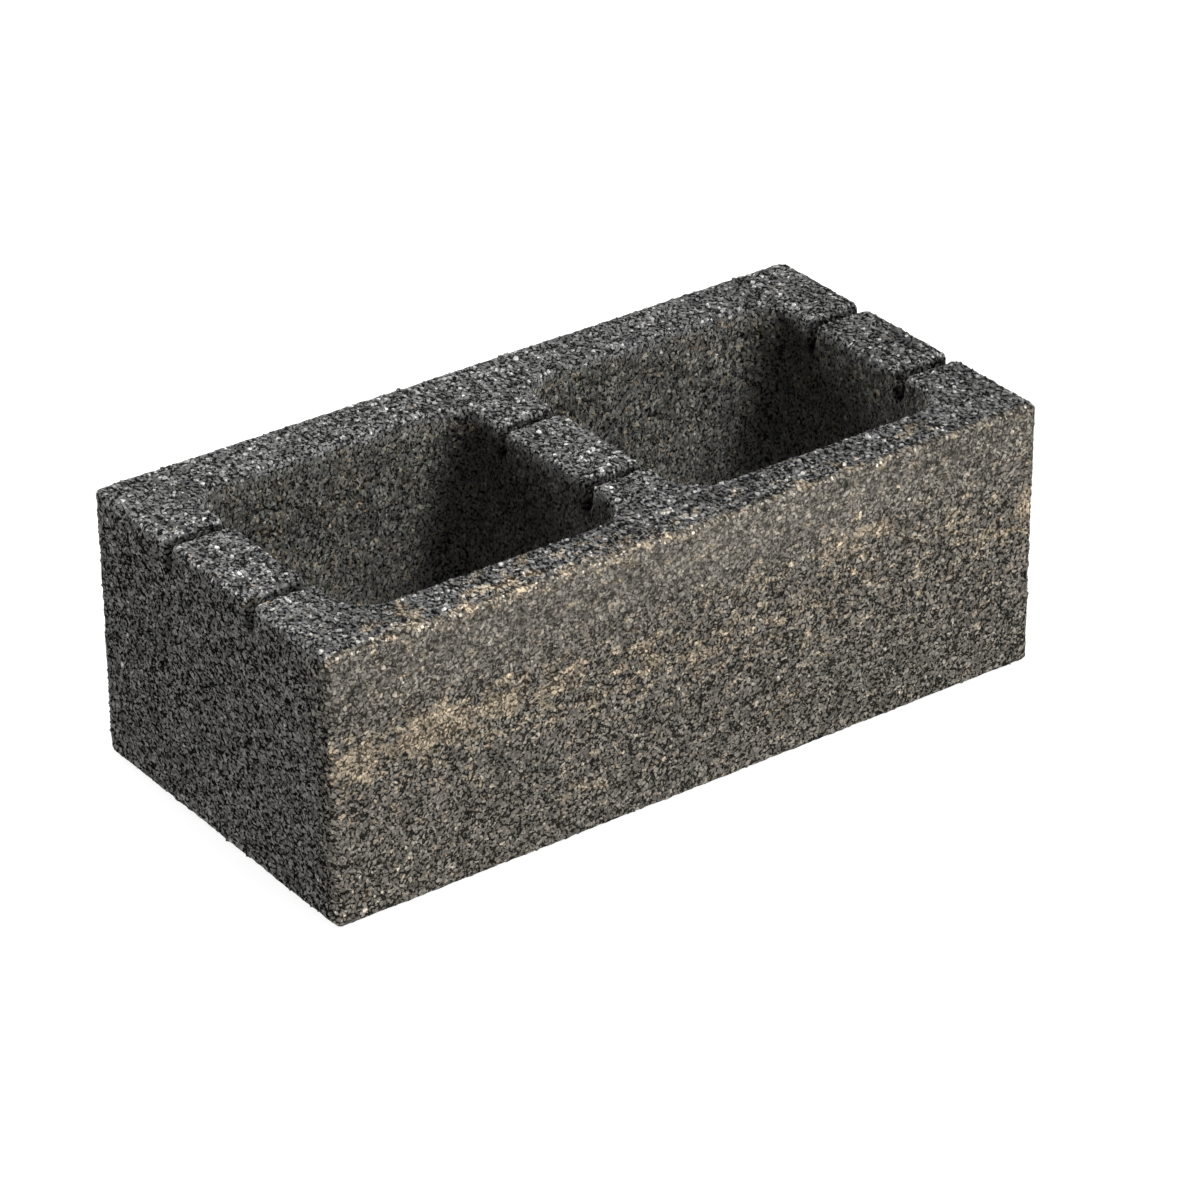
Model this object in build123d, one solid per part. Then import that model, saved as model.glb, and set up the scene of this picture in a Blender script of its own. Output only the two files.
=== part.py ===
from build123d import *
import os
from math import radians, tan

# Hollow concrete block with two cores, as it leaves the press and lies on its bed.
# Origin at the middle of the underside, X along the block, Z up. Millimetres.

# Overall sizes
block_length = 390.0
block_width = 190.0
block_height = 135.0

# Walls, measured at the top face, and the draft that lets the core moulds pull out upwards
web_thickness = 32.0
shell_thickness = 28.0
core_corner_radius = 20.0
core_draft_deg = 1.0

# Break-out notches across the tops of the webs, for cutting a web down to pass a bar
notch_spacing = 66.0
notch_top_width = 5.5
notch_floor_width = 3.0
notch_depth = 14.0

# Rounding of the arrises, and the bevel round the bed and the cores' lower ends
outer_corner_radius = 4.0
top_arris_radius = 2.0
bottom_arris_bevel = 1.2
notch_mouth_extra = 0.8

# How far a cutting shape runs past the face that it opens, and how near two heights count as one
overrun = 5.0
same_height = 0.001

# Sizes that follow
core_count = 2
core_length = (block_length - (core_count + 1) * web_thickness) / core_count
core_width = block_width - 2 * shell_thickness
core_pitch = core_length + web_thickness
core_flare = overrun * tan(radians(core_draft_deg))
notch_floor = block_height - notch_depth
notch_flare = overrun * (notch_top_width - notch_floor_width) / notch_depth
notch_mouth_radius = top_arris_radius + notch_mouth_extra


# The body is a plain slab with rounded upright corners
def make_body():
    outline = RectangleRounded(block_length, block_width, outer_corner_radius)
    return extrude(outline, block_height)


# A core narrows downwards, so its outline is drawn above the top face and drawn in as it sinks
def make_core():
    outline = RectangleRounded(
        core_length + 2 * core_flare,
        core_width + 2 * core_flare,
        core_corner_radius + core_flare,
    )
    depth = block_height + 2 * overrun
    start = Plane.XY.offset(block_height + overrun)
    return extrude(start * outline, -depth, taper=core_draft_deg)


# A notch is a narrow wedge with a flat floor, run along the whole block at one place across it
def make_notch():
    top = notch_top_width / 2 + notch_flare
    floor = notch_floor_width / 2
    reach = block_length / 2 + overrun
    corners = [
        (-floor, notch_floor),
        (floor, notch_floor),
        (top, block_height + overrun),
        (-top, block_height + overrun),
    ]
    profile = Plane.YZ * make_face(Polyline(*corners, close=True))
    return extrude(profile, reach, both=True)


# The upright edges where the notches open into a core or out of an end
def notch_mouth_edges(block):
    edges = ShapeList()
    for edge in block.edges():
        heights = [vertex.Z for vertex in edge.vertices()]
        from_floor = abs(min(heights) - notch_floor) < same_height
        to_top = abs(max(heights) - block_height) < same_height
        if from_floor and to_top:
            edges.append(edge)
    return edges


block = make_body()
for index in range(core_count):
    place = (index - (core_count - 1) / 2) * core_pitch
    block -= Pos(place, 0, 0) * make_core()
for side in (-1, 1):
    block -= Pos(0, side * notch_spacing / 2, 0) * make_notch()

block = fillet(notch_mouth_edges(block), notch_mouth_radius)
block = fillet(block.edges().group_by(Axis.Z)[-1], top_arris_radius)
block = chamfer(block.edges().group_by(Axis.Z)[0], bottom_arris_bevel)
block.label = "concrete_block"

os.makedirs("parts", exist_ok=True)
export_step(block, "parts/concrete_block.step")
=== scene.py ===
import math
import bpy
import numpy as np
from mathutils import Matrix, Vector


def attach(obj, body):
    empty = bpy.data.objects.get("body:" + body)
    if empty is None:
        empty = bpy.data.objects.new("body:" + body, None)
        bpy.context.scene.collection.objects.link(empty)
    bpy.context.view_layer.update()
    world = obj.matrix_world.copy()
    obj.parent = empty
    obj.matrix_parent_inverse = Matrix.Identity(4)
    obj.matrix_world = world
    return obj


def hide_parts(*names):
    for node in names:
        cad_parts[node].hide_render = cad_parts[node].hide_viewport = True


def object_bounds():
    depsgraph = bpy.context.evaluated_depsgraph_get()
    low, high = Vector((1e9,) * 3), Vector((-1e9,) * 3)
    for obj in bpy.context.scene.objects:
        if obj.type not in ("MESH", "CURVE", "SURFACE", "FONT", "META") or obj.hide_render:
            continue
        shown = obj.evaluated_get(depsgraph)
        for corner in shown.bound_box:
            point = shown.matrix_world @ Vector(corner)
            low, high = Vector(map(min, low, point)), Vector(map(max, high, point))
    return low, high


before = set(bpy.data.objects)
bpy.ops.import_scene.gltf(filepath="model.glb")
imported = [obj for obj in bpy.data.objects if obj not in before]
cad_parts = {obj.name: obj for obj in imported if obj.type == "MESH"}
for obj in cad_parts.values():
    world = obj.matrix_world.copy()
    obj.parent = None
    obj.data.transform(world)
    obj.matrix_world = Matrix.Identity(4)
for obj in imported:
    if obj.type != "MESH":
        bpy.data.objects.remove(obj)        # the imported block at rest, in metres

mm = 0.001
cadLow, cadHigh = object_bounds()
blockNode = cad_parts["concrete_block"]


# small helpers shared by the pieces

def makeActive(piece):
    if bpy.context.object and bpy.context.object.mode != "OBJECT":
        bpy.ops.object.mode_set(mode="OBJECT")
    bpy.ops.object.select_all(action="DESELECT")
    piece.select_set(True)
    bpy.context.view_layer.objects.active = piece


def applyModifiers(piece):
    makeActive(piece)
    for modifier in list(piece.modifiers):
        bpy.ops.object.modifier_apply(modifier=modifier.name)


def hexColour(code):
    channels = [int(code[i:i + 2], 16) / 255 for i in (1, 3, 5)]
    linear = [c / 12.92 if c <= 0.04045 else ((c + 0.055) / 1.055) ** 2.4 for c in channels]
    return (*linear, 1.0)


def addNode(tree, kind, settings=None, inputs=None):
    node = tree.nodes.new(kind)
    for name, value in (settings or {}).items():
        setattr(node, name, value)
    for name, value in (inputs or {}).items():
        socket = node.inputs[name]
        if isinstance(value, bpy.types.NodeSocket):
            tree.links.new(value, socket)
        else:
            socket.default_value = value
    return node


# camera, at the photo's viewing angle

cameraSettings = {
    "azimuthDeg": -35.96,
    "elevationDeg": 29.52,
    "rollDeg": -0.42,
    "distance": 2338 * mm,     # from the middle of the block's underside, along the line of sight
    "aimRight": 11.55 * mm,    # what the lens points at, from that middle
    "aimUp": 47.8 * mm,
    "lens": 151.07,            # lens and sensor are in millimetres, as Blender takes them
    "sensor": 36.0,
    "near": 0.05,
    "far": 100,
}


def buildCamera(s):
    azimuth, elevation, roll = (math.radians(s[k]) for k in ("azimuthDeg", "elevationDeg", "rollDeg"))
    back = Vector((math.sin(azimuth) * math.cos(elevation), -math.cos(azimuth) * math.cos(elevation),
                   math.sin(elevation)))
    level = Vector((0, 0, 1)).cross(back).normalized()
    upright = back.cross(level)
    right = math.cos(roll) * level + math.sin(roll) * upright
    up = math.cos(roll) * upright - math.sin(roll) * level
    place = back * s["distance"] + right * s["aimRight"] + up * s["aimUp"]
    bpy.ops.object.camera_add()
    camera = bpy.context.object
    camera.name = "photoCamera"
    turn = Matrix((right, up, back)).transposed().to_4x4()
    camera.matrix_world = Matrix.Translation(place) @ turn
    camera.data.lens = s["lens"]
    camera.data.sensor_width = s["sensor"]
    camera.data.clip_start = s["near"]
    camera.data.clip_end = s["far"]
    bpy.context.scene.camera = camera


buildCamera(cameraSettings)
print("camera placed")


# floor and soft studio light, in metres

studioSettings = {
    "floorSize": 30.0,
    "floorDrop": 0.4 * mm,
    "floorColour": "#b0b0ae",
    "floorRoughness": 0.9,
    "floorGlow": 0.90,         # lit from under, as a cut-out table is
    "worldColour": "#ffffff",
    "worldStrength": 0.045,
    "aimHeight": 0.07,         # the lamps point at the middle of the block
    "lamps": {
        "lowFront": {"place": (0.12, -2.45, 0.24), "size": 0.45, "watts": 29.8},
        "highRight": {"place": (0.88, -1.26, 2.02), "size": 1.2, "watts": 50},
        "lowLeft": {"place": (-2.00, -0.60, 0.13), "size": 0.25, "watts": 17},
        "behind": {"place": (-0.10, 1.10, 0.45), "size": 0.5, "watts": 9},
    },
}


def buildStudio(s):
    bpy.ops.mesh.primitive_plane_add(size=s["floorSize"], location=(0, 0, -s["floorDrop"]))
    floor = bpy.context.object
    floor.name = "studioFloor"
    bpy.ops.object.transform_apply(location=True)
    paint = bpy.data.materials.new("matt white studio floor")    # an even white, with a faint shadow
    paint.use_nodes = True
    shader = paint.node_tree.nodes["Principled BSDF"]
    shader.inputs["Base Color"].default_value = hexColour(s["floorColour"])
    shader.inputs["Roughness"].default_value = s["floorRoughness"]
    shader.inputs["Emission Color"].default_value = hexColour(s["worldColour"])
    shader.inputs["Emission Strength"].default_value = s["floorGlow"]
    floor.data.materials.append(paint)
    floor.visible_diffuse = False      # the floor's glow doesn't light the block
    world = bpy.data.worlds.new("softStudio")
    world.use_nodes = True
    background = world.node_tree.nodes["Background"]
    background.inputs["Color"].default_value = hexColour(s["worldColour"])
    background.inputs["Strength"].default_value = s["worldStrength"]
    bpy.context.scene.world = world
    for name, lamp in s["lamps"].items():
        bpy.ops.object.light_add(type="AREA", location=lamp["place"])
        light = bpy.context.object
        light.name = name
        light.data.shape = "DISK"
        light.data.size = lamp["size"]
        light.data.energy = lamp["watts"]
        toBlock = Vector((0, 0, s["aimHeight"])) - Vector(lamp["place"])
        light.rotation_euler = toBlock.to_track_quat("-Z", "Y").to_euler()
    bpy.context.scene.view_settings.view_transform = "Standard"


buildStudio(studioSettings)
print("studio set")


# cement body: the block itself, with an uneven, pitted skin and crumbled arrises

regionNames = ["Top", "Front", "Back", "Ends", "CoreLeft", "CoreRight", "Under", "Notches", "Rims"]
bodySettings = {
    "weld": 0.005 * mm,
    "voxel": 1.5 * mm,
    "keepShare": 0.5,          # of the faces, once the grit is set
    "sink": 0.15 * mm,
    "rim": 3.0 * mm,           # faces this near to a side belong to that side
    "notchMiddle": 33.0 * mm,
    "notchReach": 6.0 * mm,
    "notchFloor": 16.0 * mm,   # below the top
    "swell": {"size": 26 * mm, "height": 0.4 * mm, "level": 0.5},
    "pits": {"size": 2.6 * mm, "height": 0.6 * mm, "level": 0.5},
    "crumble": {"size": 5.0 * mm, "height": 0.9 * mm, "level": 0.62},
    "facing": {                # shares of a face's normal that tell the sides apart
        "notchWall": 0.6,      # less than this along the block
        "top": 0.3,            # more than this upwards
        "notchLip": 0.75,      # less than this upwards
        "rim": (0.12, 0.95),
        "corner": 0.3,
    },
    "arris": {"depth": 4 * mm, "slope": (0.2, 0.97), "corner": 0.25, "reach": 5 * mm},
    "mapAngleDeg": 66,
    "mapMargin": 0.002,
}


def copyOfNode(name, weld):
    piece = bpy.data.objects.new(name, blockNode.data.copy())
    piece.data.name = name
    piece.data.materials.clear()
    bpy.context.scene.collection.objects.link(piece)
    makeActive(piece)
    bpy.ops.object.mode_set(mode="EDIT")
    bpy.ops.mesh.select_all(action="SELECT")
    bpy.ops.mesh.remove_doubles(threshold=weld)
    bpy.ops.object.mode_set(mode="OBJECT")
    return piece


def readVectors(items, name):
    values = np.empty(len(items) * 3, np.float32)
    items.foreach_get(name, values)
    return values.reshape(-1, 3)


def markRegions(piece, s):
    # which side of the block each face is on, the later lines over the earlier ones
    mesh = piece.data
    normal, centre = readVectors(mesh.polygons, "normal"), readVectors(mesh.polygons, "center")
    x, y, z = centre.T
    alongX, alongY, upward = np.abs(normal[:, 0]), np.abs(normal[:, 1]), normal[:, 2]
    rim, high, facing = s["rim"], np.array(cadHigh), s["facing"]
    nearTop = z > high[2] - rim
    region = np.where(x < 0, regionNames.index("CoreLeft"), regionNames.index("CoreRight"))
    region[np.abs(x) > high[0] - rim] = regionNames.index("Ends")
    region[y > high[1] - rim] = regionNames.index("Back")
    region[y < cadLow[1] + rim] = regionNames.index("Front")
    inNotch = (np.abs(np.abs(y) - s["notchMiddle"]) < s["notchReach"]) & (alongX < facing["notchWall"])
    inNotch &= (z > high[2] - s["notchFloor"]) & (z < high[2] + rim)
    region[nearTop & (upward > facing["top"])] = regionNames.index("Top")
    region[inNotch & ((upward < facing["notchLip"]) | (z < high[2] - rim))] = regionNames.index("Notches")
    region[z < cadLow[2] + rim / 2] = regionNames.index("Under")
    onRim = nearTop & (z < high[2]) & (upward > facing["rim"][0]) & (upward < facing["rim"][1])
    onCorner = (alongX > facing["corner"]) & (alongY > facing["corner"])
    onCorner &= (np.abs(x) > high[0] - 2 * rim) & (np.abs(y) > high[1] - 2 * rim)
    region[onRim | onCorner] = regionNames.index("Rims")
    mark = mesh.attributes.new("region", "INT", "FACE")
    mark.data.foreach_set("value", region.astype(np.int32))


def markArrises(piece, s):
    # the edges of the top and the bed and the upright corners, where wet mix crumbles as the mould lifts
    mesh = piece.data
    place, normal = readVectors(mesh.vertices, "co"), readVectors(mesh.vertex_normals, "vector")
    high = np.array(cadHigh)
    flat, steep = s["slope"]
    upward = normal[:, 2]
    onTop = (place[:, 2] > high[2] - s["depth"]) & (upward > flat) & (upward < steep)
    corner = (np.abs(normal[:, 0]) > s["corner"]) & (np.abs(normal[:, 1]) > s["corner"])
    corner &= np.abs(place[:, 0]) > high[0] - s["reach"]
    corner &= np.abs(place[:, 1]) > high[1] - s["reach"]
    onBottom = (place[:, 2] < cadLow[2] + s["depth"]) & (upward < -flat) & (upward > -steep)
    group = piece.vertex_groups.new(name="arris")
    group.add([int(i) for i in np.flatnonzero(onTop | corner | onBottom)], 1.0, "REPLACE")


def displace(piece, name, height, size=None, level=0.0, group=""):
    modifier = piece.modifiers.new(name, "DISPLACE")
    modifier.strength = height
    modifier.mid_level = level
    modifier.vertex_group = group
    if size:
        texture = bpy.data.textures.new(name, "CLOUDS")
        texture.noise_scale = size
        texture.noise_depth = 1
        modifier.texture = texture
        modifier.texture_coords = "LOCAL"


def buildBody(s):
    piece = copyOfNode("cementBody", s["weld"])
    remesh = piece.modifiers.new("voxels", "REMESH")
    remesh.mode = "VOXEL"
    remesh.voxel_size = s["voxel"]
    applyModifiers(piece)
    markRegions(piece, s)
    markArrises(piece, s["arris"])
    bpy.ops.object.mode_set(mode="EDIT")
    bpy.ops.mesh.select_all(action="SELECT")
    bpy.ops.uv.smart_project(angle_limit=math.radians(s["mapAngleDeg"]), island_margin=s["mapMargin"])
    bpy.ops.object.mode_set(mode="OBJECT")
    piece.data.uv_layers[0].name = "OFBake"
    displace(piece, "sink", -s["sink"])
    for name, group in (("swell", ""), ("pits", ""), ("crumble", "arris")):
        displace(piece, name, s[name]["height"], s[name]["size"], s[name]["level"], group)
    applyModifiers(piece)
    return piece


cementBody = buildBody(bodySettings)
print("cement body has", len(cementBody.data.polygons), "faces")


# aggregate: angular crushed grit, bedded flush in the cement of every face

chipSettings = {               # shares of a chip's radius, which is 1 until it is set
    "sides": (4, 5, 4, 5, 4, 5),
    "tables": (0.70, 0.62, 0.66, 0.74, 0.60, 0.68),
    "height": 0.34,
    "root": 0.50,
    "jitter": 0.26,
    "mapAngleDeg": 66,
    "mapMargin": 0.03,
}
aggregateSettings = {
    "candidates": 4.0e6,       # a square metre, before chips that are too near are dropped
    "sizePower": 1.2,          # over 1, so that most chips are small
    "stretch": 0.28,           # each way, from round
    "smear": {"size": 16 * mm, "from": 0.48, "to": 0.66},   # where the paste has closed over the grit
    "seeds": {"spots": 3, "pick": 11, "turn": 12, "size": 13, "lift": 14, "draws": 15, "stretch": 16},
    "regions": {
        "Top": {"spacing": 2.3 * mm, "radius": (1.0 * mm, 1.75 * mm), "lift": (-0.45 * mm, 0.05 * mm),
                "tiltDeg": 22, "smear": 0.2 * mm},
        "Front": {"spacing": 3.6 * mm, "radius": (1.0 * mm, 1.7 * mm), "lift": (-0.45 * mm, -0.15 * mm),
                  "tiltDeg": 14, "smear": 0.2 * mm},
        "Back": {"spacing": 3.6 * mm, "radius": (1.0 * mm, 1.7 * mm), "lift": (-0.45 * mm, -0.15 * mm),
                 "tiltDeg": 14, "smear": 0.2 * mm},
        "Ends": {"spacing": 3.0 * mm, "radius": (1.0 * mm, 1.7 * mm), "lift": (-0.4 * mm, -0.05 * mm),
                 "tiltDeg": 18, "smear": 0.2 * mm},
        "CoreLeft": {"spacing": 3.6 * mm, "radius": (1.0 * mm, 1.6 * mm), "lift": (-0.45 * mm, -0.15 * mm),
                     "tiltDeg": 14, "smear": 0.2 * mm},
        "CoreRight": {"spacing": 3.6 * mm, "radius": (1.0 * mm, 1.6 * mm), "lift": (-0.45 * mm, -0.15 * mm),
                      "tiltDeg": 14, "smear": 0.2 * mm},
        "Under": {"spacing": 4.0 * mm, "radius": (1.0 * mm, 1.7 * mm), "lift": (-0.8 * mm, -0.5 * mm),
                  "tiltDeg": 10, "smear": 0.2 * mm},
        "Notches": {"spacing": 2.4 * mm, "radius": (0.7 * mm, 1.1 * mm), "lift": (-0.4 * mm, -0.15 * mm),
                    "tiltDeg": 20, "smear": 0.0 * mm},
        "Rims": {"spacing": 1.9 * mm, "radius": (0.75 * mm, 1.25 * mm), "lift": (-0.45 * mm, -0.15 * mm),
                 "tiltDeg": 12, "smear": 0.0 * mm, "arris": 1.0},      # the only chips on an arris
    },
}


def makeChip(index, s):
    # a low stump with a flat top, bedded to its root
    bpy.ops.object.select_all(action="DESELECT")
    depth = s["height"] + s["root"]
    middle = (s["height"] - s["root"]) / 2
    bpy.ops.mesh.primitive_cone_add(vertices=s["sides"][index], radius1=1.0, radius2=s["tables"][index],
                                    depth=depth, location=(0, 0, middle))
    chip = bpy.context.object
    chip.name = f"chip{index}"
    bpy.ops.object.transform_apply(location=True)
    bpy.ops.object.mode_set(mode="EDIT")
    bpy.ops.mesh.select_all(action="SELECT")
    bpy.ops.transform.vertex_random(offset=s["jitter"], uniform=1.0, normal=0.0, seed=index + 1)
    bpy.ops.mesh.quads_convert_to_tris()
    bpy.ops.mesh.normals_make_consistent(inside=False)
    bpy.ops.uv.smart_project(angle_limit=math.radians(s["mapAngleDeg"]), island_margin=s["mapMargin"])
    bpy.ops.object.mode_set(mode="OBJECT")
    chip.data.uv_layers[0].name = "OFBake"
    return chip


def spreadSpots(tree, mesh, region, here, s):
    # spots for the chips on one side of the block
    mark = addNode(tree, "GeometryNodeInputNamedAttribute", {"data_type": "INT"}, {"Name": "region"})
    inRegion = addNode(tree, "FunctionNodeCompare", {"data_type": "INT", "operation": "EQUAL"}, {
        2: mark.outputs["Attribute"], 3: region})
    arris = addNode(tree, "GeometryNodeInputNamedAttribute", {"data_type": "FLOAT"}, {"Name": "arris"})
    offArris = addNode(tree, "FunctionNodeCompare", {"data_type": "FLOAT", "operation": "LESS_EQUAL"}, {
        0: arris.outputs[0], 1: here.get("arris", 0.0)})
    chosen = addNode(tree, "FunctionNodeBooleanMath", {"operation": "AND"}, {
        0: inRegion.outputs[0], 1: offArris.outputs[0]})
    return addNode(tree, "GeometryNodeDistributePointsOnFaces", {"distribute_method": "POISSON"}, {
        "Mesh": mesh, "Selection": chosen.outputs[0], "Distance Min": here["spacing"],
        "Density Max": s["candidates"], "Seed": region + s["seeds"]["spots"]})


def liftSpots(tree, spots, here, s):
    # how far each chip stands out: a draw of its own, less where the paste has closed over the grit
    ownLift = addNode(tree, "FunctionNodeRandomValue", {"data_type": "FLOAT"}, {
        2: here["lift"][0], 3: here["lift"][1], "Seed": s["seeds"]["lift"]})
    place = addNode(tree, "GeometryNodeInputPosition")
    smear = addNode(tree, "ShaderNodeTexNoise", None, {
        "Vector": place.outputs[0], "Scale": 1 / s["smear"]["size"], "Detail": 2.0})
    sunk = addNode(tree, "ShaderNodeMapRange", None, {
        "Value": smear.outputs[0], "From Min": s["smear"]["from"], "From Max": s["smear"]["to"],
        "To Min": 0.0, "To Max": -here["smear"]})
    lift = addNode(tree, "ShaderNodeMath", {"operation": "ADD"}, {
        0: ownLift.outputs[1], 1: sunk.outputs[0]})
    offset = addNode(tree, "ShaderNodeVectorMath", {"operation": "SCALE"}, {
        0: spots.outputs["Normal"], "Scale": lift.outputs[0]})
    return addNode(tree, "GeometryNodeSetPosition", None, {
        "Geometry": spots.outputs["Points"], "Offset": offset.outputs[0]})


def bedChips(tree, spots, lifted, chips, here, s):
    # a chip on each spot, picked, turned, tilted and sized by draws of its own
    seeds = s["seeds"]
    heap = addNode(tree, "GeometryNodeGeometryToInstance")
    for chip in chips:
        picked = addNode(tree, "GeometryNodeObjectInfo", None, {"Object": chip, "As Instance": True})
        tree.links.new(picked.outputs["Geometry"], heap.inputs[0])
    pick = addNode(tree, "FunctionNodeRandomValue", {"data_type": "INT"}, {
        4: 0, 5: len(chips) - 1, "Seed": seeds["pick"]})
    tilt = math.radians(here["tiltDeg"])
    turn = addNode(tree, "FunctionNodeRandomValue", {"data_type": "FLOAT_VECTOR"}, {
        0: (-tilt, -tilt, 0), 1: (tilt, tilt, 2 * math.pi), "Seed": seeds["turn"]})
    asTurn = addNode(tree, "FunctionNodeEulerToRotation", None, {"Euler": turn.outputs[0]})
    turned = addNode(tree, "FunctionNodeRotateRotation", {"rotation_space": "LOCAL"}, {
        "Rotation": spots.outputs["Rotation"], "Rotate By": asTurn.outputs[0]})
    draw = addNode(tree, "FunctionNodeRandomValue", {"data_type": "FLOAT"}, {
        2: 0.0, 3: 1.0, "Seed": seeds["size"]})
    skewed = addNode(tree, "ShaderNodeMath", {"operation": "POWER"}, {
        0: draw.outputs[1], 1: s["sizePower"]})
    radius = addNode(tree, "ShaderNodeMapRange", None, {
        "Value": skewed.outputs[0], "To Min": here["radius"][0], "To Max": here["radius"][1]})
    stretch = addNode(tree, "FunctionNodeRandomValue", {"data_type": "FLOAT_VECTOR"}, {
        0: (1 - s["stretch"],) * 3, 1: (1 + s["stretch"],) * 3, "Seed": seeds["stretch"]})
    scale = addNode(tree, "ShaderNodeVectorMath", {"operation": "SCALE"}, {
        0: stretch.outputs[0], "Scale": radius.outputs[0]})
    return addNode(tree, "GeometryNodeInstanceOnPoints", None, {
        "Points": lifted.outputs[0], "Instance": heap.outputs[0], "Pick Instance": True,
        "Instance Index": pick.outputs[2], "Rotation": turned.outputs[0], "Scale": scale.outputs[0]})


def mapChips(tree, bedded, s):
    # three draws a chip for its colour, and a square cell of the bake's map for each chip
    storeOnChip = {"data_type": "FLOAT_VECTOR", "domain": "INSTANCE"}
    readVector = {"data_type": "FLOAT_VECTOR"}
    draws = addNode(tree, "FunctionNodeRandomValue", readVector, {"Seed": s["seeds"]["draws"]})
    drawn = addNode(tree, "GeometryNodeStoreNamedAttribute", storeOnChip, {
        "Geometry": bedded.outputs[0], "Name": "draws", "Value": draws.outputs[0]})
    count = addNode(tree, "GeometryNodeAttributeDomainSize", {"component": "INSTANCES"}, {
        "Geometry": drawn.outputs[0]})
    root = addNode(tree, "ShaderNodeMath", {"operation": "SQRT"}, {0: count.outputs["Instance Count"]})
    across = addNode(tree, "ShaderNodeMath", {"operation": "CEIL"}, {0: root.outputs[0]})
    index = addNode(tree, "GeometryNodeInputIndex")
    column = addNode(tree, "ShaderNodeMath", {"operation": "MODULO"}, {
        0: index.outputs[0], 1: across.outputs[0]})
    along = addNode(tree, "ShaderNodeMath", {"operation": "DIVIDE"}, {
        0: index.outputs[0], 1: across.outputs[0]})
    row = addNode(tree, "ShaderNodeMath", {"operation": "FLOOR"}, {0: along.outputs[0]})
    cell = addNode(tree, "ShaderNodeCombineXYZ", None, {"X": column.outputs[0], "Y": row.outputs[0]})
    celled = addNode(tree, "GeometryNodeStoreNamedAttribute", storeOnChip, {
        "Geometry": drawn.outputs[0], "Name": "cell", "Value": cell.outputs[0]})
    solid = addNode(tree, "GeometryNodeRealizeInstances", None, {"Geometry": celled.outputs[0]})
    ownMap = addNode(tree, "GeometryNodeInputNamedAttribute", readVector, {"Name": "OFBake"})
    ownCell = addNode(tree, "GeometryNodeInputNamedAttribute", readVector, {"Name": "cell"})
    inCell = addNode(tree, "ShaderNodeVectorMath", {"operation": "ADD"}, {
        0: ownMap.outputs[0], 1: ownCell.outputs[0]})
    share = addNode(tree, "ShaderNodeMath", {"operation": "DIVIDE"}, {0: 1.0, 1: across.outputs[0]})
    onMap = addNode(tree, "ShaderNodeVectorMath", {"operation": "SCALE"}, {
        0: inCell.outputs[0], "Scale": share.outputs[0]})
    mapped = addNode(tree, "GeometryNodeStoreNamedAttribute", {"data_type": "FLOAT2", "domain": "CORNER"}, {
        "Geometry": solid.outputs[0], "Name": "OFBake", "Value": onMap.outputs[0]})
    return addNode(tree, "GeometryNodeRemoveAttribute", None, {
        "Geometry": mapped.outputs[0], "Name": "cell"})


def aggregateNodes(name, region, chips, s, paint):
    here = s["regions"][regionNames[region]]
    tree = bpy.data.node_groups.new(name, "GeometryNodeTree")
    tree.interface.new_socket("Geometry", in_out="INPUT", socket_type="NodeSocketGeometry")
    tree.interface.new_socket("Geometry", in_out="OUTPUT", socket_type="NodeSocketGeometry")
    start = addNode(tree, "NodeGroupInput")
    spots = spreadSpots(tree, start.outputs[0], region, here, s)
    lifted = liftSpots(tree, spots, here, s)
    bedded = bedChips(tree, spots, lifted, chips, here, s)
    mapped = mapChips(tree, bedded, s)
    painted = addNode(tree, "GeometryNodeSetMaterial", None, {
        "Geometry": mapped.outputs[0], "Material": paint})
    addNode(tree, "NodeGroupOutput", None, {0: painted.outputs[0]})
    return tree


def buildAggregate(emitter, s, outerPaint, corePaint):
    chips = [makeChip(i, chipSettings) for i in range(len(chipSettings["sides"]))]
    pieces = []
    for region, regionName in enumerate(regionNames):
        paint = corePaint if regionName.startswith("Core") else outerPaint
        piece = bpy.data.objects.new("aggregate" + regionName, emitter.data.copy())
        bpy.context.scene.collection.objects.link(piece)
        modifier = piece.modifiers.new("stones", "NODES")
        modifier.node_group = aggregateNodes("set" + regionName, region, chips, s, paint)
        applyModifiers(piece)
        piece.data.name = piece.name
        print(piece.name, "has", len(piece.data.polygons), "faces")
        pieces.append(piece)
    for chip in chips:
        bpy.data.objects.remove(chip)
    return pieces


# stains and painted light: how warm, cream, light and open the mix is, and how bright, by place; the
# brightness also holds painted light under the top edges and on the top, and painted shade down the notches

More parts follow.
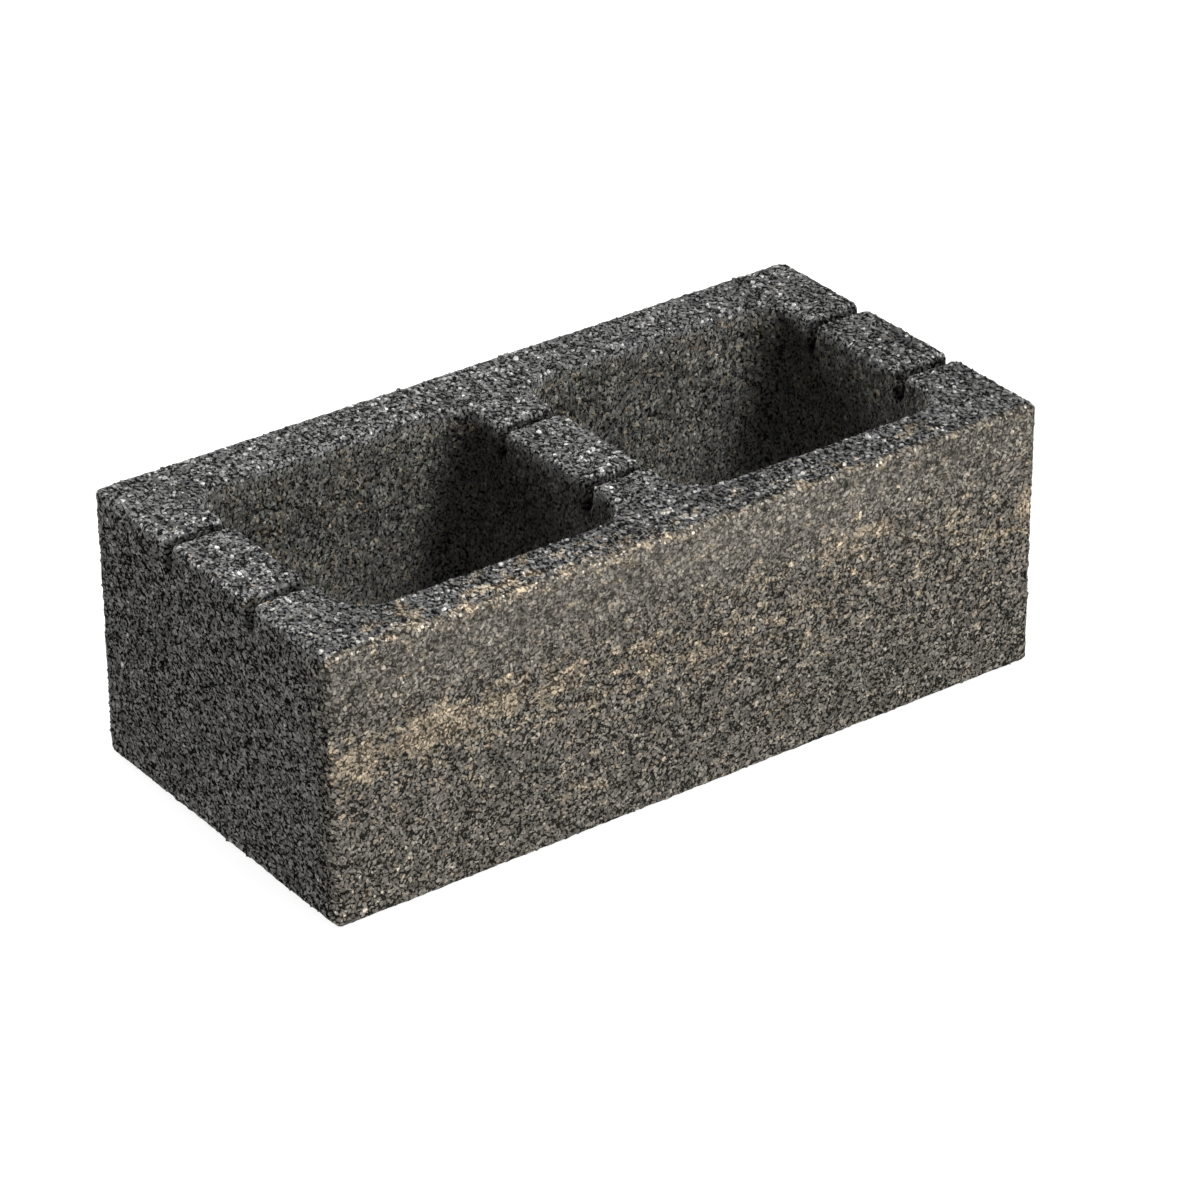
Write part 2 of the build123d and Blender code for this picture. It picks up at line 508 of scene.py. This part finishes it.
stainAndLightSettings = {
    "warm": {"front": 0.72, "back": 0.55, "top": 0.08, "core": 0.5, "rest": 0.25},
    "cream": {"front": 0.24, "back": 0.16, "top": 0.05, "core": 0.32, "rest": -0.02},
    "light": {"front": 0.015, "back": 0.015, "top": 0.18, "core": 0.05, "rest": 0.015},    # pale chips, on the top partly painted glints
    "tone": {"front": 0.98, "back": 0.98, "top": 0.99, "core": 0.92, "rest": 0.92},
    "open": {"front": 0.92, "back": 0.92, "top": 0.95, "core": 0.95, "rest": 1.0},    # how dark the painted shade in the gaps is
    "rimPaleAndHighlight": 0.55,          # more of the chips are pale along the top's edges, partly a painted highlight on the arrises
    "corner": 16 * mm,         # how far the front's warm film fades round its corners
    "skin": 4 * mm,            # how near to a side is on it
    "wall": 20 * mm,           # nothing this near to the outside is in a core
    "paintedSlotShade": {"half": 3.4 * mm, "from": 0.3 * mm, "over": 2.2 * mm, "paintedShade": 0.24},    # painted shade, darker down the notches
    # patches: x and z on the front and back or x and y on the top, half the length and height, in
    # millimetres, and the strength
    "frontCream": [
        (-142, 82, 30, 11, 0.95), (-182, 80, 18, 12, 0.80), (-112, 84, 30, 10, 0.70),
        (-78, 83, 24, 9, 0.65), (-31, 86, 9, 3, 1.00), (34, 95, 16, 8, 0.45),
        (84, 97, 18, 11, 0.55), (103, 101, 7, 7, 0.65), (142, 88, 20, 9, 0.45),
        (172, 75, 22, 7, 0.60), (190, 83, 9, 12, 0.70), (50, 30, 16, 8, 0.40),
        (-67, 25, 22, 8, 0.35), (-20, 72, 190, 18, 0.36),
    ],
    "backCream": [(120, 62, 90, 14, 0.55), (-60, 96, 80, 12, 0.45), (-150, 40, 50, 12, 0.35)],
    "topCream": [
        (-105, -86, 34, 9, 0.80), (-30, -86, 40, 9, 0.70), (-150, -83, 30, 13, 0.60),
        (130, -80, 16, 7, 0.60), (-188, 0, 8, 60, 0.30), (60, -88, 60, 6, 0.40),
        (-60, -80, 130, 14, 0.40),
    ],
    "frontLight": [(-172, 14, 24, 12, 0.50), (-10, 60, 4, 7, 0.60), (-150, 122, 6, 5, 0.40)],
    # pale chips on the top, partly painted glints where the top is lit most
    "topPaleAndGlint": [
        (-110, -84, 70, 12, 0.08), (-150, 84, 45, 12, 0.10), (-182, 0, 14, 80, 0.10),
        (0, 80, 60, 12, 0.05),
    ],
    # painted light: the front and back lighter under the top edge, as light falls from above
    "frontPaintedLight": [(60, 118, 150, 24, 0.22), (-120, 118, 90, 20, 0.12)],
    "backPaintedLight": [(-70, 118, 150, 22, 0.20), (120, 116, 70, 20, 0.12)],
    # painted light: the top lighter at its left end, along its middle web and at its front and back strips,
    # where the light falls most
    "topPaintedLight": [
        (-110, -84, 80, 14, 0.32), (-182, 0, 16, 90, 0.54), (0, 0, 20, 90, 0.38),
        (-60, 84, 160, 14, 0.41),
    ],
    "frontShut": [(0, 122, 260, 22, 0.30)],      # the smoother band under the top edge
}


def patchSum(u, v, patches):
    total = np.zeros(len(u), np.float32)
    for middleU, middleV, halfU, halfV, share in patches:
        away = ((u - middleU * mm) / (halfU * mm)) ** 2 + ((v - middleV * mm) / (halfV * mm)) ** 2
        total = np.maximum(total, share * np.exp(-away))
    return total


def paintStainsAndLight(piece, s):
    x, y, z = readVectors(piece.data.vertices, "co").T
    onFront, onBack = y < cadLow[1] + s["skin"], y > cadHigh[1] - s["skin"]
    onTop = z > cadHigh[2] - s["skin"]
    inCore = (np.abs(x) < cadHigh[0] - s["wall"]) & (np.abs(y) < cadHigh[1] - s["wall"])
    sides = {"front": onFront, "back": onBack & ~onTop, "top": onTop, "core": inCore}
    stainsAndLight = {}
    for name in ("warm", "cream", "light", "tone", "open"):
        shares = [s[name][side] for side in sides]
        stainsAndLight[name] = np.select(list(sides.values()), shares, s[name]["rest"]).astype(np.float32)
    onEnd = ~(onFront | onBack | onTop | inCore)
    fade = np.where(onEnd, np.exp(-((y - cadLow[1]) / s["corner"]) ** 2), 0)
    stainsAndLight["warm"] += fade * (s["warm"]["front"] - s["warm"]["rest"])
    # more pale chips on the top's edges: partly pale grit, partly a painted highlight on the arrises
    if piece.name == "aggregateRims":
        stainsAndLight["light"][onTop] = s["rimPaleAndHighlight"]
    # the cream patches are stains, the tone patches painted light, the pale ones partly painted glints
    for name, side, v, patches, sign in (
            ("cream", onFront, z, "frontCream", 1), ("cream", onBack, z, "backCream", 1),
            ("cream", onTop, y, "topCream", 1), ("light", onFront, z, "frontLight", 1),
            ("light", onTop, y, "topPaleAndGlint", 1), ("tone", onFront, z, "frontPaintedLight", 1),
            ("tone", onBack, z, "backPaintedLight", 1), ("tone", onTop, y, "topPaintedLight", 1),
            ("open", onFront, z, "frontShut", -1), ("open", onBack, z, "frontShut", -1)):
        stainsAndLight[name] += sign * np.where(side, patchSum(x, v, s[patches]), 0)
    # painted shade down the notches: the tone darkens with depth below the top
    paintedSlotShade = s["paintedSlotShade"]
    inSlot = np.abs(np.abs(y) - bodySettings["notchMiddle"]) < paintedSlotShade["half"]
    inSlot &= z > cadHigh[2] - bodySettings["notchFloor"]
    sunk = np.clip((cadHigh[2] - z - paintedSlotShade["from"]) / paintedSlotShade["over"], 0, 1)
    stainsAndLight["tone"] *= np.where(inSlot, 1 - (1 - paintedSlotShade["paintedShade"]) * sunk, 1)
    for name, values in stainsAndLight.items():
        mark = piece.data.attributes.new(name, "FLOAT", "POINT")
        mark.data.foreach_set("value", values.astype(np.float32))


# dry pressed concrete: crushed grit in a lean cement, which gives a dull, dark, open grain of small
# tilted facets with painted shade in black gaps between them, a warm bloom where the cement film is left and
# a few pale chips, partly painted glints

concreteSettings = {
    "greys": [(0.0, "#777878"), (0.5, "#919292"), (0.9, "#a7a8a7"), (1.0, "#bebebd")],
    "warmTint": "#ffeed4",     # what the grey is dyed by where the cement film is warm
    "cream": "#d5c2a6",        # flakes of leaner mix
    # the pale chips' colour, partly standing for painted glints
    "pale": "#e9e8e5",
    "paste": "#8f9090",
    "roughness": 0.85,
    "gloss": 0.4,              # none down in the gaps, where nothing is reflected
    "lie": (1.0, 0.80, 1.0),   # the flat chips lie along the mould's width
    "warp": {"size": 3.6 * mm, "reach": 1.6 * mm},
    "grain": {"size": 2.2 * mm, "tone": (0.45, 1.55), "slope": 2.1},
    # the gaps are painted near black, as the shade down in the pits between the grains
    "crack": {"size": 1.7 * mm, "width": 0.28, "from": 0.39, "to": 0.53, "paintedShade": 0.03, "depth": 1.0 * mm},
    "gapEdge": (-0.04, 0.07),  # in shares of a grain, round the gap's own width
    "paleShut": 0.7,           # how far the gaps are closed on the pale chips
    "tooth": {"size": 0.9 * mm, "tone": (0.80, 1.20), "depth": 0.25 * mm},    # coarser than real, to show
    "cloud": {"size": 9.0 * mm, "tone": (0.80, 1.20)},
    "noiseSpan": (0.3, 0.7),   # where most of a noise lies
    "film": {"size": 5.0 * mm, "stretch": (0.6, 0.8, 1.2)},      # cloudy, and drawn along the block
    "flakes": {"weight": 0.36, "from": 0.65, "to": 0.83, "cover": 0.78, "smear": 0.12},
}
coreSettings = {               # the core moulds rub the mix smoother as they pull out
    **concreteSettings,
    "warmTint": "#fdf6de",
    "lie": (1.0, 1.0, 0.8),
    "film": {"size": 3.2 * mm, "stretch": (0.8, 0.8, 1.0)},
    "grain": {"size": 1.9 * mm, "tone": (0.60, 1.40), "slope": 1.4},
    # the same painted shade in the gaps, inside the cores
    "crack": {"size": 1.4 * mm, "width": 0.26, "from": 0.37, "to": 0.50, "paintedShade": 0.03, "depth": 0.8 * mm},
}


def layFilm(tree, place, base, s):
    # the warm cement film, and cream flakes of it
    warm = addNode(tree, "ShaderNodeAttribute", {"attribute_name": "warm"})
    warmed = addNode(tree, "ShaderNodeMix", {"data_type": "RGBA", "blend_type": "MULTIPLY"}, {
        0: warm.outputs["Fac"], 6: base, 7: hexColour(s["warmTint"])})
    drawn = addNode(tree, "ShaderNodeMapping", None, {"Vector": place, "Scale": s["film"]["stretch"]})
    film = addNode(tree, "ShaderNodeTexNoise", None, {
        "Vector": drawn.outputs[0], "Scale": 1 / s["film"]["size"], "Detail": 3.0, "Roughness": 0.6})
    cream = addNode(tree, "ShaderNodeAttribute", {"attribute_name": "cream"})
    thick = addNode(tree, "ShaderNodeMath", {"operation": "MULTIPLY_ADD"}, {
        0: cream.outputs["Fac"], 1: s["flakes"]["weight"], 2: film.outputs[0]})
    flakes = addNode(tree, "ShaderNodeMapRange", {"interpolation_type": "SMOOTHSTEP"}, {
        "Value": thick.outputs[0], "From Min": s["flakes"]["from"], "From Max": s["flakes"]["to"],
        "To Min": 0.0, "To Max": s["flakes"]["cover"]})
    creamed = addNode(tree, "ShaderNodeMix", {"data_type": "RGBA"}, {
        0: flakes.outputs[0], 6: warmed.outputs[2], 7: hexColour(s["cream"])})
    return creamed.outputs[2], flakes.outputs[0]


def warpGrains(tree, laid, s):
    # pulls the grains out of line, so that they differ in size
    wander = addNode(tree, "ShaderNodeTexNoise", None, {
        "Vector": laid, "Scale": 1 / s["warp"]["size"], "Detail": 1.0})
    shift = addNode(tree, "ShaderNodeVectorMath", {"operation": "SCALE"}, {
        0: wander.outputs[1], "Scale": 2 * s["warp"]["reach"]})
    warped = addNode(tree, "ShaderNodeVectorMath", {"operation": "ADD"}, {0: laid, 1: shift.outputs[0]})
    return warped.outputs[0]


def packGrains(tree, warped, s):
    # every grain has a grey of its own, and its face is a plane of its own tilt
    grain = addNode(tree, "ShaderNodeTexVoronoi", None, {
        "Vector": warped, "Scale": 1 / s["grain"]["size"]})
    grainTone = addNode(tree, "ShaderNodeMapRange", None, {
        "Value": grain.outputs["Color"], "To Min": s["grain"]["tone"][0], "To Max": s["grain"]["tone"][1]})
    fromMiddle = addNode(tree, "ShaderNodeVectorMath", {"operation": "SUBTRACT"}, {
        0: warped, 1: grain.outputs["Position"]})
    lean = addNode(tree, "ShaderNodeVectorMath", {"operation": "SUBTRACT"}, {
        0: grain.outputs["Color"], 1: (0.5, 0.5, 0.5)})
    rise = addNode(tree, "ShaderNodeVectorMath", {"operation": "DOT_PRODUCT"}, {
        0: fromMiddle.outputs[0], 1: lean.outputs[0]})
    facet = addNode(tree, "ShaderNodeMath", {"operation": "MULTIPLY"}, {
        0: rise.outputs["Value"], 1: s["grain"]["slope"]})
    return grainTone.outputs[0], facet.outputs[0]


def openGaps(tree, laid, warped, flakes, s, shut):
    # gaps round the grains, painted dark as the shade down in them, wide in some places and closed in
    # others, and half shut under flakes
    crack = s["crack"]
    edge = addNode(tree, "ShaderNodeTexVoronoi", {"feature": "DISTANCE_TO_EDGE"}, {
        "Vector": warped, "Scale": 1 / s["grain"]["size"]})
    uneven = addNode(tree, "ShaderNodeTexNoise", None, {
        "Vector": laid, "Scale": 1 / crack["size"], "Detail": 2.0, "Roughness": 0.6, "Distortion": 0.5})
    width = addNode(tree, "ShaderNodeMapRange", None, {
        "Value": uneven.outputs[0], "From Min": crack["from"], "From Max": crack["to"],
        "To Min": crack["width"], "To Max": 0.0})
    inside = addNode(tree, "ShaderNodeMath", {"operation": "SUBTRACT"}, {
        0: edge.outputs[0], 1: width.outputs[0]})
    gap = addNode(tree, "ShaderNodeMapRange", {"interpolation_type": "SMOOTHSTEP"}, {
        "Value": inside.outputs[0], "From Min": s["gapEdge"][0], "From Max": s["gapEdge"][1],
        "To Min": crack["paintedShade"], "To Max": 1.0})
    opened = addNode(tree, "ShaderNodeAttribute", {"attribute_name": "open"})
    ajar = addNode(tree, "ShaderNodeMath", {"operation": "MULTIPLY_ADD"}, {
        0: shut, 1: -s["paleShut"], 2: opened.outputs["Fac"]})
    smeared = addNode(tree, "ShaderNodeMath", {"operation": "MULTIPLY_ADD"}, {
        0: flakes, 1: -s["flakes"]["smear"], 2: ajar.outputs[0]})
    cut = addNode(tree, "ShaderNodeMix", {"data_type": "FLOAT"}, {
        0: smeared.outputs[0], 2: 1.0, 3: gap.outputs[0]})
    return gap.outputs[0], cut.outputs[0]


def finishConcrete(tree, base, s, shut=0.0):
    # the same film, grains, gaps and tooth on chips and on paste
    shader = tree.nodes["Principled BSDF"]
    place = addNode(tree, "ShaderNodeTexCoord").outputs["Object"]
    laid = addNode(tree, "ShaderNodeMapping", None, {"Vector": place, "Scale": s["lie"]}).outputs[0]
    colour, flakes = layFilm(tree, place, base, s)
    warped = warpGrains(tree, laid, s)
    grainTone, facet = packGrains(tree, warped, s)
    gap, cut = openGaps(tree, laid, warped, flakes, s, shut)
    spanLow, spanHigh = s["noiseSpan"]
    tooth = addNode(tree, "ShaderNodeTexNoise", None, {
        "Vector": laid, "Scale": 1 / s["tooth"]["size"], "Detail": 1.0})
    toothTone = addNode(tree, "ShaderNodeMapRange", None, {
        "Value": tooth.outputs[0], "From Min": spanLow, "From Max": spanHigh,
        "To Min": s["tooth"]["tone"][0], "To Max": s["tooth"]["tone"][1]})
    cloud = addNode(tree, "ShaderNodeTexNoise", None, {
        "Vector": place, "Scale": 1 / s["cloud"]["size"], "Detail": 1.0})
    cloudTone = addNode(tree, "ShaderNodeMapRange", None, {
        "Value": cloud.outputs[0], "From Min": spanLow, "From Max": spanHigh,
        "To Min": s["cloud"]["tone"][0], "To Max": s["cloud"]["tone"][1]})
    # the tone by place: stains, with painted light under the top edges and on the top's left, and painted
    # shade down the notches
    placeToneAndLight = addNode(tree, "ShaderNodeAttribute", {"attribute_name": "tone"})
    tone = cut
    for factor in (grainTone, toothTone.outputs[0], cloudTone.outputs[0], placeToneAndLight.outputs["Fac"]):
        tone = addNode(tree, "ShaderNodeMath", {"operation": "MULTIPLY"}, {0: tone, 1: factor}).outputs[0]
    dimmed = addNode(tree, "ShaderNodeVectorMath", {"operation": "SCALE"}, {0: colour, "Scale": tone})
    tree.links.new(dimmed.outputs[0], shader.inputs["Base Color"])
    shader.inputs["Roughness"].default_value = s["roughness"]
    gloss = addNode(tree, "ShaderNodeMath", {"operation": "MULTIPLY"}, {0: gap, 1: s["gloss"]})
    tree.links.new(gloss.outputs[0], shader.inputs["Specular IOR Level"])
    toothed = addNode(tree, "ShaderNodeMath", {"operation": "MULTIPLY_ADD"}, {
        0: tooth.outputs[0], 1: s["tooth"]["depth"], 2: facet})
    relief = addNode(tree, "ShaderNodeMath", {"operation": "MULTIPLY_ADD"}, {
        0: cut, 1: s["crack"]["depth"], 2: toothed.outputs[0]})
    bump = addNode(tree, "ShaderNodeBump", None, {
        "Strength": 1.0, "Distance": 1.0, "Height": relief.outputs[0]})
    tree.links.new(bump.outputs[0], shader.inputs["Normal"])


def chipPaint(name, s):
    # crushed stone: dull greys from chip to chip, and a pale one here and there, partly pale stone and
    # partly a painted glint
    paint = bpy.data.materials.new(name)
    paint.use_nodes = True
    tree = paint.node_tree
    draws = addNode(tree, "ShaderNodeAttribute", {"attribute_name": "draws"})
    split = addNode(tree, "ShaderNodeSeparateXYZ", None, {0: draws.outputs["Vector"]})
    light = addNode(tree, "ShaderNodeAttribute", {"attribute_name": "light"})
    greys = addNode(tree, "ShaderNodeValToRGB", None, {"Fac": split.outputs[0]})
    while len(greys.color_ramp.elements) < len(s["greys"]):
        greys.color_ramp.elements.new(1.0)
    for element, (stop, colour) in zip(greys.color_ramp.elements, s["greys"]):
        element.position = stop
        element.color = hexColour(colour)
    isPale = addNode(tree, "ShaderNodeMath", {"operation": "LESS_THAN"}, {
        0: split.outputs[2], 1: light.outputs["Fac"]})
    paled = addNode(tree, "ShaderNodeMix", {"data_type": "RGBA"}, {
        0: isPale.outputs[0], 6: greys.outputs[0], 7: hexColour(s["pale"])})
    finishConcrete(tree, paled.outputs[2], s, isPale.outputs[0])
    return paint


def pastePaint(name, s):
    # cement paste: one matt grey between the chips, so that only the grain shows
    paint = bpy.data.materials.new(name)
    paint.use_nodes = True
    finishConcrete(paint.node_tree, hexColour(s["paste"]), s)
    return paint


def paintBody(piece):
    piece.data.materials.append(pastePaint("dry grey cement paste", concreteSettings))
    piece.data.materials.append(pastePaint("cement paste rubbed by the core moulds", coreSettings))
    region = np.empty(len(piece.data.polygons), np.int32)
    piece.data.attributes["region"].data.foreach_get("value", region)
    inCore = np.isin(region, [regionNames.index("CoreLeft"), regionNames.index("CoreRight")])
    piece.data.polygons.foreach_set("material_index", inCore.astype(np.int32))


gritPaint = chipPaint("crushed grit bound in dry cement", concreteSettings)
coreGritPaint = chipPaint("crushed grit rubbed by the core moulds", coreSettings)
stones = buildAggregate(cementBody, aggregateSettings, gritPaint, coreGritPaint)
paintBody(cementBody)
thin = cementBody.modifiers.new("thin", "DECIMATE")
thin.ratio = bodySettings["keepShare"]
applyModifiers(cementBody)
bpy.ops.object.shade_smooth()
for piece in [cementBody, *stones]:
    paintStainsAndLight(piece, stainAndLightSettings)
print("aggregate set, triangles in all:",
      sum(sum(len(face.vertices) - 2 for face in p.data.polygons) for p in [cementBody, *stones]))

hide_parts("concrete_block")
for piece in [cementBody, *stones]:
    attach(piece, "root")
